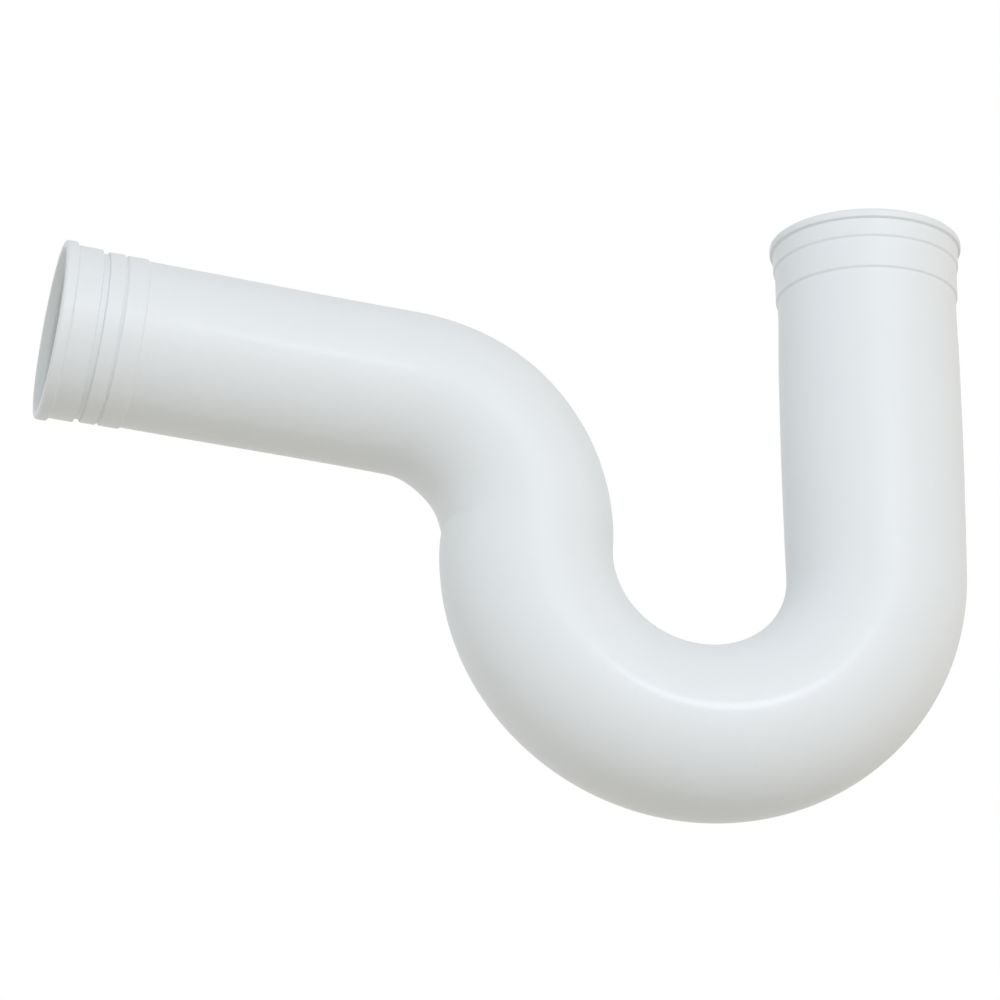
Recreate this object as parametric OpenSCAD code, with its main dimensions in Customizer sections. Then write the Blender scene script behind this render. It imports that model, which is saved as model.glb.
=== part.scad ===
// Waste trap bend, moulded in one piece of white plastic.
// An inlet leg runs down into a U bend that holds the water seal, a short
// riser leads into an elbow, and an outlet arm carries the waste away.
// Each mouth has a collar of a lip and stepped or grooved bands.
// Millimetres. The inlet mouth is centred on the origin and faces +Z,
// the leg runs down, the arm runs towards -X, and Y is the thin way.

/* [Walls and diameters] */
// Wall thickness of the moulding, the same all the way round
wall = 1.5; // [1:0.1:2.2]
// Outside diameter of the inlet leg
leg_od = 50; // [48.6:0.2:56]
// Outside diameter of the U bend
bend_od = 48.8; // [47:0.2:50]
// Outside diameter of the elbow
elbow_od = 47; // [45.6:0.2:48]
// Outside diameter of the outlet arm where it leaves the elbow
arm_od = 45.2; // [44:0.2:46.6]
// Outside diameter of the outlet arm under its collar
arm_end_od = 46.6; // [45.6:0.2:50]

/* [Waterway] */
// Length of the inlet leg, from its mouth to the start of the U bend
leg_len = 98; // [60:0.5:160]
// Centre-line radius of the U bend
bend_radius = 48.5; // [32:0.5:70]
// Straight riser between the U bend and the elbow
riser_len = 8; // [4:0.5:40]
// Centre-line radius of the elbow
elbow_radius = 39.5; // [28:0.5:60]
// Angle the elbow turns through, from the riser to the arm
elbow_angle = 82; // [45:0.5:95]
// Length of the outlet arm, from the elbow to its mouth
arm_len = 98; // [60:0.5:160]
// Length of the cone that eases a straight tube into its bend
ease_len = 14; // [6:0.5:20]

/* [Inlet collar] */
// Height of the lip round the inlet mouth
inlet_lip_len = 3; // [2:0.1:6]
// How far the lip stands out from the leg
inlet_lip_out = 2; // [1.4:0.1:4]
// Length of the upper band, under the lip
upper_band_len = 5.2; // [3:0.1:12]
// How far the upper band stands out from the leg
upper_band_out = 1.1; // [0.7:0.1:1.3]
// Length of the lower band
lower_band_len = 9; // [4:0.1:16]
// How far the lower band stands out from the leg
lower_band_out = 0.5; // [0.2:0.1:0.6]

/* [Outlet collar] */
// Length of the lip round the outlet mouth
outlet_lip_len = 4; // [2:0.1:6]
// How far that lip stands out from the arm
outlet_lip_out = 1.9; // [1.4:0.1:4]
// Length of the first band behind the lip
first_band_len = 7.7; // [4:0.1:12]
// How far the first band stands out from the arm
first_band_out = 0.9; // [0.7:0.1:1.3]
// Width of the square groove behind the first band
groove_len = 1.3; // [0.8:0.1:3]
// How far the floor of the square groove stands out from the arm
groove_floor_out = 0.15; // [0:0.05:0.2]
// Length of the middle band
middle_band_len = 4.6; // [2:0.1:8]
// How far the middle and last bands stand out from the arm
band_out = 0.5; // [0.3:0.05:0.6]
// Width of the V groove between the middle band and the last band
vee_len = 0.9; // [0.6:0.1:2]
// Length of the last band, next to the arm
last_band_len = 5.7; // [3:0.1:12]

/* [Mouths] */
// Radius of the rounded outer edge of each lip
lip_round = 1.4; // [0.3:0.1:1.4]
// How far the outlet bore opens out at its mouth
lead_in_out = 1.3; // [0.4:0.1:1.4]
// How deep that opening reaches into the outlet
lead_in_len = 2.5; // [1:0.1:5]
// Length of the straight bore behind it, for the pipe that slides in
socket_len = 34; // [22:1:50]

/* [Hidden] */
// Facets round a tube, and along a half turn of a bend
tube_fn = 96;
$fn = tube_fn;
// How far a cutting shape reaches past a mouth
past = 1;
// The arm's root reaches this far into the elbow, and is narrower by tuck
tuck_len = 0.5;
tuck = 0.2;
// Steps on the rounded edge of a lip
round_steps = 5;
// Rise of the slope under a lip, along the tube
under_slope = 0.5;

leg_r = leg_od / 2;
bend_r = bend_od / 2;
elbow_r = elbow_od / 2;
arm_r = arm_od / 2;
arm_end_r = arm_end_od / 2;

inlet_lip_r = leg_r + inlet_lip_out;
upper_band_r = leg_r + upper_band_out;
lower_band_r = leg_r + lower_band_out;
upper_band_end = inlet_lip_len + upper_band_len;
lower_band_end = upper_band_end + lower_band_len;

outlet_lip_r = arm_end_r + outlet_lip_out;
first_band_r = arm_end_r + first_band_out;
groove_r = arm_end_r + groove_floor_out;
band_r = arm_end_r + band_out;
first_band_end = outlet_lip_len + first_band_len;
groove_end = first_band_end + groove_len;
middle_band_end = groove_end + middle_band_len;
vee_end = middle_band_end + vee_len;
collar_end = vee_end + last_band_len;
socket_end = lead_in_len + socket_len;
// Where the arm starts to taper towards the elbow
taper_start = max(collar_end, socket_end);

// Points round the outer edge of a lip of radius r, at the mouth
function lip_edge(r) = [for (i = [0:round_steps])
    let (a = 90 - 90 * i / round_steps)
    [r - lip_round + lip_round * cos(a), lip_round - lip_round * sin(a)]];

// Outlines are drawn as [radius, distance from the mouth]
function inlet_outline() = concat(
    [[0, 0]],
    lip_edge(inlet_lip_r),
    [[inlet_lip_r, inlet_lip_len - under_slope],
     [upper_band_r, inlet_lip_len],
     [upper_band_r, upper_band_end],
     [lower_band_r, upper_band_end],
     [lower_band_r, lower_band_end],
     [leg_r, lower_band_end],
     [leg_r, leg_len - ease_len],
     [bend_r, leg_len],
     [0, leg_len]]);

function inlet_bore() = [
    [0, -past],
    [leg_r - wall, -past],
    [leg_r - wall, leg_len - ease_len],
    [bend_r - wall, leg_len],
    [0, leg_len]];

function outlet_outline() = concat(
    [[0, 0]],
    lip_edge(outlet_lip_r),
    [[outlet_lip_r, outlet_lip_len - under_slope],
     [first_band_r, outlet_lip_len],
     [first_band_r, first_band_end],
     [groove_r, first_band_end],
     [groove_r, groove_end],
     [band_r, groove_end],
     [band_r, middle_band_end],
     [groove_r, middle_band_end + vee_len / 2],
     [band_r, vee_end],
     [band_r, collar_end],
     [arm_end_r, collar_end],
     [arm_end_r, taper_start],
     [arm_r, arm_len - ease_len],
     [elbow_r - tuck, arm_len],
     [elbow_r - tuck, arm_len + tuck_len],
     [0, arm_len + tuck_len]]);

function outlet_bore() = [
    [0, -past],
    [arm_end_r - wall + lead_in_out * (1 + past / lead_in_len), -past],
    [arm_end_r - wall, lead_in_len],
    [arm_end_r - wall, socket_end],
    [arm_r - wall, arm_len - ease_len],
    [elbow_r - wall - tuck, arm_len],
    [elbow_r - wall - tuck, arm_len + tuck_len],
    [0, arm_len + tuck_len]];

// A turned shape whose mouth is at the origin, facing up, and which runs down
module turned(outline) {
    mirror([0, 0, 1])
        rotate_extrude()
            polygon(outline);
}

// The leg, turned. It is drawn up from its foot, so that the foot and the end
// of the U bend lie in exactly the same plane whatever the leg's length
module turned_leg(outline) {
    at_leg_foot()
        rotate_extrude()
            polygon([for (point = outline) [point[0], leg_len - point[1]]]);
}

// A round bend in the XZ plane. It starts at the origin heading up, and turns
// towards -X about a centre at [-radius, 0]
module bend(radius, tube_r, angle) {
    translate([-radius, 0, 0])
        rotate([90, 0, 0])
            rotate_extrude(angle = angle)
                translate([radius, 0])
                    circle(r = tube_r);
}

// Carries its children to the foot of the leg
module at_leg_foot() {
    translate([0, 0, -leg_len])
        children();
}

// Carries its children to the foot of the riser
module at_riser_foot() {
    translate([-2 * bend_radius, 0, -leg_len])
        children();
}

// Carries its children to the start of the elbow
module at_elbow() {
    at_riser_foot()
        translate([0, 0, riser_len])
            children();
}

// Carries its children to the outlet mouth, facing out along the arm
module at_outlet_mouth() {
    at_elbow()
        translate([-elbow_radius, 0, 0])
            rotate([0, -elbow_angle, 0])
                translate([elbow_radius, 0, arm_len])
                    children();
}

// The whole run from mouth to mouth as a filled shape. With inset 0 it is
// the outer skin, and with inset wall it is the waterway inside
module run(inlet, outlet, inset) {
    turned_leg(inlet);
    at_leg_foot()
        mirror([0, 0, 1])
            bend(bend_radius, bend_r - inset, 180);
    at_riser_foot()
        cylinder(h = riser_len, r1 = bend_r - inset, r2 = elbow_r - inset);
    at_elbow()
        bend(elbow_radius, elbow_r - inset, elbow_angle);
    at_outlet_mouth()
        turned(outlet);
}

module trap_body() {
    color("white")
        difference() {
            run(inlet_outline(), outlet_outline(), 0);
            run(inlet_bore(), outlet_bore(), wall);
        }
}

trap_body();
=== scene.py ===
"""Looks of the waste trap bend: one white plastic moulding in a plain studio.

The visible piece is one closed tube skin swept along the run, from the inlet
mouth down the leg, round the U bend, through a slight waist into the elbow and
along the arm. Metres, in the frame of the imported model.
"""
import math

import bpy
import numpy as np
from mathutils import Euler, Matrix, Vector


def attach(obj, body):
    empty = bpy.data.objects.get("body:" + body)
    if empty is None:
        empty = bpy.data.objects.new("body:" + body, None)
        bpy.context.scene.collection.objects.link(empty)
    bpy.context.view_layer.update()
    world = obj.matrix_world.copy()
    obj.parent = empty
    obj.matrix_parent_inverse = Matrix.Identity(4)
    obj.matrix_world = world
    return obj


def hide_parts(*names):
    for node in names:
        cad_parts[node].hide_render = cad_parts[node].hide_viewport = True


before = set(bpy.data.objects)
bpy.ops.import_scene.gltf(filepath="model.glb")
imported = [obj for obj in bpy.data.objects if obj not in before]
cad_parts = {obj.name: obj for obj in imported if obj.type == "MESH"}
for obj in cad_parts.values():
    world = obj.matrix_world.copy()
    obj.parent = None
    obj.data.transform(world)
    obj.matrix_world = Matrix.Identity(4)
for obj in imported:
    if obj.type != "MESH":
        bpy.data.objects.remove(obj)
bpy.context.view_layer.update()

MM = 0.001

# The run, in millimetres. It follows the solids to within about a millimetre, but
# the U bend sweeps a little past a half turn and meets the elbow in a slight waist
LEG_LEN = 98.0
BEND_RADIUS = 48.5
BEND_ANGLE = math.radians(185)
ELBOW_RADIUS = 39.6
ELBOW_ANGLE = math.radians(87)
ARM_LEN = 97.0
WALL = 1.5

BEND_START = LEG_LEN
WAIST = BEND_START + BEND_RADIUS * BEND_ANGLE
ELBOW_END = WAIST + ELBOW_RADIUS * ELBOW_ANGLE
RUN_END = ELBOW_END + ARM_LEN

# Outside radius of the bare tube at distances along the run
TUBE_RADIUS = [
    (0.0, 24.5), (20.0, 24.45), (36.0, 24.8), (60.0, 24.95), (88.0, 24.75),
    (BEND_START, 24.6), (BEND_START + 42.0, 24.35), (WAIST - 66.0, 24.05),
    (WAIST - 26.0, 23.85), (WAIST, 23.5), (WAIST + 10.0, 23.43),
    (WAIST + 34.0, 23.4), (ELBOW_END, 22.5), (ELBOW_END + 14.0, 22.45),
    (RUN_END - 35.0, 22.8), (RUN_END, 22.95),
]

# Collars: (distance from the mouth, height above the bare tube, corner radius)
INLET_COLLAR = [
    (0.0, -WALL, 0.3), (0.0, 1.8, 0.9), (2.35, 1.8, 0.35), (2.75, 1.0, 0.25),
    (7.45, 0.95, 0.35), (7.95, 0.5, 0.25), (16.45, 0.5, 0.35), (16.95, 0.0, 0.25),
    (19.0, 0.0, 0.0),
]
OUTLET_COLLAR = [
    (0.0, -0.15, 0.3), (0.0, 1.75, 1.2), (3.2, 1.75, 0.5), (3.8, 0.85, 0.3),
    (10.4, 0.85, 0.4), (10.6, -0.2, 0.15), (12.1, -0.2, 0.15), (12.3, 0.55, 0.4),
    (16.4, 0.55, 0.35), (17.0, -0.2, 0.1), (17.6, 0.5, 0.35), (22.9, 0.5, 0.35),
    (23.4, 0.0, 0.2), (25.4, 0.0, 0.0),
]

# The bore opens out at the outlet mouth: by how much, over what length, and how
# far from the mouth the rings of that opening lie
LEAD_IN_OUT = 1.3
LEAD_IN_LEN = 2.5
LEAD_IN_RINGS = (0.3, 1.4, 2.3)
# The other rings of the bore: one just behind that opening, even ones from a little
# further back to near the inlet mouth, and one at the edge of the inlet mouth
BEHIND_LEAD_IN = 0.1
BORE_FROM = 0.7
BORE_TO = 1.0
BORE_RINGS = 190
INLET_EDGE = 0.3

# The waist is a crease on the inner side of the elbow that fades out round the
# tube: how deep, how wide along the tube, how soft, and how far past the U it lies
CREASE_DEPTH = 0.45
CREASE_HALF = 9.0
CREASE_SOFT = 0.8
CREASE_PAST = 4.5

# Points round the tube, and distances between its outer rings, in general and at
# the crease
AROUND = 160
RING_STEP = 1.5
CREASE_STEP = 0.4


def centre_line(s):
    """Point (x, z) and direction (x, z) of the run at distance s from the inlet."""
    if s <= BEND_START:
        return (0.0, -s), (0.0, -1.0)
    a = min((s - BEND_START) / BEND_RADIUS, BEND_ANGLE)
    x = -BEND_RADIUS + BEND_RADIUS * math.cos(a)
    z = -LEG_LEN - BEND_RADIUS * math.sin(a)
    way = (-math.sin(a), -math.cos(a))
    if s <= WAIST:
        return (x, z), way
    left = (-way[1], way[0])
    b = min((s - WAIST) / ELBOW_RADIUS, ELBOW_ANGLE)
    x += ELBOW_RADIUS * ((1 - math.cos(b)) * left[0] + math.sin(b) * way[0])
    z += ELBOW_RADIUS * ((1 - math.cos(b)) * left[1] + math.sin(b) * way[1])
    way = (math.cos(b) * way[0] + math.sin(b) * left[0],
           math.cos(b) * way[1] + math.sin(b) * left[1])
    past = max(0.0, s - ELBOW_END)
    return (x + past * way[0], z + past * way[1]), way


def smooth_curve(knots):
    """A monotone cubic through the knots, as a function."""
    xs, ys = np.array(knots).T
    step = np.diff(xs)
    slope = np.diff(ys) / step
    at_knot = np.zeros_like(ys)
    same_way = slope[:-1] * slope[1:] > 0
    w1, w2 = 2 * step[1:] + step[:-1], step[1:] + 2 * step[:-1]
    inner = np.zeros_like(slope[:-1])
    inner[same_way] = ((w1 + w2)[same_way] / (w1[same_way] / slope[:-1][same_way]
                                              + w2[same_way] / slope[1:][same_way]))
    at_knot[1:-1] = inner
    at_knot[0], at_knot[-1] = slope[0], slope[-1]

    def at(x):
        i = np.clip(np.searchsorted(xs, x) - 1, 0, len(step) - 1)
        t = np.clip((x - xs[i]) / step[i], 0, 1)
        return ((2 * t ** 3 - 3 * t ** 2 + 1) * ys[i]
                + (t ** 3 - 2 * t ** 2 + t) * step[i] * at_knot[i]
                + (3 * t ** 2 - 2 * t ** 3) * ys[i + 1]
                + (t ** 3 - t ** 2) * step[i] * at_knot[i + 1])
    return at


tube = smooth_curve(TUBE_RADIUS)


def crease(s, out):
    """How far the skin draws in at distance s, where out is 1 on the outer side of
    the elbow and -1 on its inner side."""
    off = math.hypot(s - WAIST - CREASE_PAST, CREASE_SOFT)
    share = max(0.0, 1 - off / CREASE_HALF) ** 2
    return CREASE_DEPTH * share * np.maximum(0, -out) ** 5


def rounded(corners, steps=4):
    """A line through corners (along, out, radius), with each corner turned by an arc."""
    pts = [np.array(c[:2], float) for c in corners]
    out = [pts[0]]
    for before, here, after, (_, _, r) in zip(pts, pts[1:], pts[2:], corners[1:-1]):
        a, b = before - here, after - here
        la, lb = np.linalg.norm(a), np.linalg.norm(b)
        a, b = a / la, b / lb
        half = math.acos(np.clip(a @ b, -1, 1)) / 2
        if r <= 0 or half > math.radians(89):
            out.append(here)
            continue
        cut = min(r / math.tan(half), 0.49 * la, 0.49 * lb)
        r = cut * math.tan(half)
        mid = here + (a + b) / np.linalg.norm(a + b) * r / math.sin(half)
        p, q = here + cut * a - mid, here + cut * b - mid
        turn = math.pi - 2 * half
        for k in range(steps + 1):
            f = k / steps
            out.append(mid + (p * math.sin((1 - f) * turn) + q * math.sin(f * turn)) / math.sin(turn))
    out.append(pts[-1])
    return shouldered(out)


def shouldered(line, reach=0.2):
    """Adds a point near both ends of every long stretch, so that it shades flat."""
    out = [line[0]]
    for a, b in zip(line, line[1:]):
        span = np.linalg.norm(b - a)
        if span > 4 * reach:
            step = (b - a) * reach / span
            out += [a + step, b - step]
        out.append(b)
    return out


def spaced(start, end, step):
    """Even distances from start up to end, about a step apart, without end itself."""
    return np.linspace(start, end, round((end - start) / step), endpoint=False)


def stations(start, end):
    """Distances at which the bare tube has a ring, from start to end."""
    near, far = WAIST + CREASE_PAST - CREASE_HALF, WAIST + CREASE_PAST + CREASE_HALF
    return np.concatenate([spaced(start, near, RING_STEP), spaced(near, far, CREASE_STEP),
                           spaced(far, end, RING_STEP), [end]])


def outer_profile():
    """(distance, radius) of the outer skin, from the inlet mouth to the outlet mouth."""
    inlet = [(s, tube(s) + h) for s, h in rounded(INLET_COLLAR)]
    outlet = [(RUN_END - s, tube(RUN_END - s) + h) for s, h in rounded(OUTLET_COLLAR)][::-1]
    start, end = inlet[-1][0], outlet[0][0]
    mid = [(s, tube(s)) for s in stations(start, end)[1:-1]]
    return inlet + mid + outlet


def inner_profile():
    """(distance, radius) of the bore, from the outlet mouth back to the inlet mouth."""
    mouth = tube(RUN_END) - WALL
    start = RUN_END - LEAD_IN_LEN
    out = [(RUN_END - d, mouth + LEAD_IN_OUT * (1 - d / LEAD_IN_LEN)) for d in LEAD_IN_RINGS]
    out += [(start - BEHIND_LEAD_IN, mouth)]
    out += [(s, tube(s) - WALL) for s in np.linspace(start - BORE_FROM, BORE_TO, BORE_RINGS)]
    out += [(INLET_EDGE, tube(0.0) - WALL)]
    return out


def swept_skin(name, profile):
    """A closed skin, one ring for each (distance, radius) of the profile."""
    turn = np.linspace(0, 2 * np.pi, AROUND, endpoint=False)
    rings = []
    for s, r in profile:
        (cx, cz), (tx, tz) = centre_line(float(s))
        nx, nz = tz, -tx
        r = r - crease(s, np.cos(turn))
        rings.append(np.c_[cx + r * np.cos(turn) * nx,
                           r * np.sin(turn),
                           cz + r * np.cos(turn) * nz])
    co = np.concatenate(rings) * MM
    n = len(rings)
    i, j = np.meshgrid(np.arange(n), np.arange(AROUND), indexing="ij")
    i2, j2 = (i + 1) % n, (j + 1) % AROUND
    faces = np.stack([i * AROUND + j, i2 * AROUND + j, i2 * AROUND + j2, i * AROUND + j2], -1)
    mesh = bpy.data.meshes.new(name)
    mesh.from_pydata(co.tolist(), [], faces.reshape(-1, 4).tolist())
    mesh.validate()
    mesh.update()
    piece = bpy.data.objects.new(name, mesh)
    bpy.context.scene.collection.objects.link(piece)
    mesh.polygons.foreach_set("use_smooth", [True] * len(mesh.polygons))
    return piece


def add_node(tree, kind, **values):
    """A shader node, with each value set on the socket or the property of its name."""
    node = tree.nodes.new(kind)
    for key, value in values.items():
        if key in node.inputs:
            node.inputs[key].default_value = value
        else:
            setattr(node, key, value)
    return node


def empty_tree(owner):
    """The node tree of a material or a world, with nothing in it."""
    owner.use_nodes = True
    owner.node_tree.nodes.clear()
    return owner.node_tree


def plastic():
    """Satin white moulded plastic, faintly mottled, with a fine mould texture."""
    mat = bpy.data.materials.new("white_plastic")
    tree = empty_tree(mat)
    link = tree.links.new
    out = tree.nodes.new("ShaderNodeOutputMaterial")
    shader = tree.nodes.new("ShaderNodeBsdfPrincipled")
    link(shader.outputs["BSDF"], out.inputs["Surface"])
    shader.inputs["IOR"].default_value = 1.49
    shader.inputs["Coat Weight"].default_value = 0.08
    shader.inputs["Coat Roughness"].default_value = 0.15
    place = tree.nodes.new("ShaderNodeTexCoord").outputs["Object"]

    def noise(scale, detail):
        """Noise with features of about 1 / scale metres."""
        node = add_node(tree, "ShaderNodeTexNoise", Scale=scale, Detail=detail)
        link(place, node.inputs["Vector"])
        return node.outputs["Fac"]

    # Cool white, a shade deeper in soft clouds
    clouds = add_node(tree, "ShaderNodeMix", data_type="RGBA", blend_type="MIX")
    link(noise(55.0, 4.0), clouds.inputs["Factor"])
    clouds.inputs["A"].default_value = (0.785, 0.822, 0.842, 1)
    clouds.inputs["B"].default_value = (0.815, 0.848, 0.868, 1)
    link(clouds.outputs["Result"], shader.inputs["Base Color"])
    # Gloss that varies a little from place to place
    rough = add_node(tree, "ShaderNodeMapRange")
    link(noise(140.0, 3.0), rough.inputs["Value"])
    rough.inputs["To Min"].default_value = 0.46
    rough.inputs["To Max"].default_value = 0.54
    link(rough.outputs["Result"], shader.inputs["Roughness"])
    # Grain of the mould over the faint waves of the moulding
    grain = add_node(tree, "ShaderNodeBump", Strength=0.15, Distance=0.0002)
    link(noise(2600.0, 2.0), grain.inputs["Height"])
    waves = add_node(tree, "ShaderNodeBump", Strength=0.05, Distance=0.002)
    link(noise(90.0, 2.0), waves.inputs["Height"])
    link(waves.outputs["Normal"], grain.inputs["Normal"])
    link(grain.outputs["Normal"], shader.inputs["Normal"])
    return mat


# Light that comes from each side of the studio, as (red, green, blue)
SKY = {
    "+X": (0.90, 0.77, 0.60), "-X": (1.04, 1.08, 1.17),
    "+Y": (0.80, 0.80, 0.80), "-Y": (1.18, 1.20, 1.11),
    "+Z": (0.15, 0.15, 0.15), "-Z": (0.30, 0.30, 0.30),
}


def sky_colour(tree):
    """The light that comes from a direction, blended from the six sides by the
    squares of the direction's parts."""
    link = tree.links.new
    way = tree.nodes.new("ShaderNodeTexCoord").outputs["Generated"]
    total = None
    for sign, pick in (("+", "MAXIMUM"), ("-", "MINIMUM")):
        half = add_node(tree, "ShaderNodeVectorMath", operation=pick)
        link(way, half.inputs[0])
        half.inputs[1].default_value = (0, 0, 0)
        share = add_node(tree, "ShaderNodeVectorMath", operation="MULTIPLY")
        link(half.outputs[0], share.inputs[0])
        link(half.outputs[0], share.inputs[1])
        split = tree.nodes.new("ShaderNodeSeparateXYZ")
        link(share.outputs[0], split.inputs[0])
        for axis in "XYZ":
            part = add_node(tree, "ShaderNodeVectorMath", operation="SCALE")
            part.inputs[0].default_value = SKY[sign + axis]
            link(split.outputs[axis], part.inputs["Scale"])
            if total is None:
                total = part.outputs[0]
                continue
            both = add_node(tree, "ShaderNodeVectorMath", operation="ADD")
            link(total, both.inputs[0])
            link(part.outputs[0], both.inputs[1])
            total = both.outputs[0]
    return total


def seen_outright(tree):
    """1 for what the camera sees, itself or through gloss and glass, else 0."""
    path = tree.nodes.new("ShaderNodeLightPath")
    total = path.outputs["Is Camera Ray"]
    for kind in ("Is Glossy Ray", "Is Transmission Ray"):
        either = add_node(tree, "ShaderNodeMath", operation="MAXIMUM")
        tree.links.new(total, either.inputs[0])
        tree.links.new(path.outputs[kind], either.inputs[1])
        total = either.outputs[0]
    return total


def studio():
    """Soft light from all sides, seen by the camera as plain white."""
    scene = bpy.context.scene
    scene.view_settings.view_transform = "Standard"
    scene.world = bpy.data.worlds.new("studio")
    tree = empty_tree(scene.world)
    out = tree.nodes.new("ShaderNodeOutputWorld")
    soft = add_node(tree, "ShaderNodeBackground", Strength=1.0)
    tree.links.new(sky_colour(tree), soft.inputs["Color"])
    white = add_node(tree, "ShaderNodeBackground", Color=(1, 1, 1, 1), Strength=1.0)
    mix = tree.nodes.new("ShaderNodeMixShader")
    tree.links.new(seen_outright(tree), mix.inputs[0])
    tree.links.new(soft.outputs[0], mix.inputs[1])
    tree.links.new(white.outputs[0], mix.inputs[2])
    tree.links.new(mix.outputs[0], out.inputs["Surface"])


LAMP_AIM = Vector((-0.1, 0.0, -0.09))


def add_lamp(name, place, size, power, colour):
    """A round soft lamp, turned to the middle of the trap."""
    data = bpy.data.lights.new(name, "AREA")
    data.shape = "DISK"
    data.size = size
    data.energy = power
    data.color = colour
    lamp = bpy.data.objects.new(name, data)
    lamp.location = place
    lamp.rotation_euler = (LAMP_AIM - lamp.location).to_track_quat("-Z", "Y").to_euler()
    bpy.context.scene.collection.objects.link(lamp)


FLOOR_Z = -2.3
FLOOR_HALF = 70.0
FLOOR_COLOUR = (0.97, 0.95, 0.90, 1)
FLOOR_LIFT = 0.41       # glow that brings the floor near to white where it is seen


def add_floor():
    """A pale floor far below, because the camera looks up at the trap."""
    mesh = bpy.data.meshes.new("floor")
    mesh.from_pydata([(x * FLOOR_HALF, y * FLOOR_HALF, FLOOR_Z)
                      for x, y in ((-1, -1), (1, -1), (1, 1), (-1, 1))], [], [(0, 1, 2, 3)])
    floor = bpy.data.objects.new("floor", mesh)
    bpy.context.scene.collection.objects.link(floor)
    mat = bpy.data.materials.new("pale_floor")
    tree = empty_tree(mat)
    link = tree.links.new
    out = tree.nodes.new("ShaderNodeOutputMaterial")
    matt = add_node(tree, "ShaderNodeBsdfDiffuse", Color=FLOOR_COLOUR)
    glow = tree.nodes.new("ShaderNodeEmission")
    lift = add_node(tree, "ShaderNodeMath", operation="MULTIPLY")
    link(seen_outright(tree), lift.inputs[0])
    lift.inputs[1].default_value = FLOOR_LIFT
    link(lift.outputs[0], glow.inputs["Strength"])
    both = tree.nodes.new("ShaderNodeAddShader")
    link(matt.outputs[0], both.inputs[0])
    link(glow.outputs[0], both.inputs[1])
    link(both.outputs[0], out.inputs["Surface"])
    mesh.materials.append(mat)


# The photograph's view: from in front, below and to the left, with a long lens
CAMERA_AT = (-0.6694, -2.9541, -1.3221)
CAMERA_TURN = (112.4256, 1.2143, -10.3374)      # degrees about X, Y and Z
CAMERA_LENS = 432.0
CAMERA_FILM = 36.0


def add_camera():
    data = bpy.data.cameras.new("camera")
    data.sensor_width = CAMERA_FILM
    data.lens = CAMERA_LENS
    data.clip_start = 0.05
    data.clip_end = 200.0
    cam = bpy.data.objects.new("camera", data)
    cam.location = CAMERA_AT
    cam.rotation_euler = Euler([math.radians(a) for a in CAMERA_TURN])
    bpy.context.scene.collection.objects.link(cam)
    bpy.context.scene.camera = cam


trap = swept_skin("trap_skin", outer_profile() + inner_profile())
trap.data.materials.append(plastic())
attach(trap, "root")
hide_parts("trap_body")

studio()
add_floor()
add_lamp("key_lamp", place=(0.42, -2.37, 0.50), size=0.42, power=15.5, colour=(0.96, 1.0, 1.2))
add_camera()
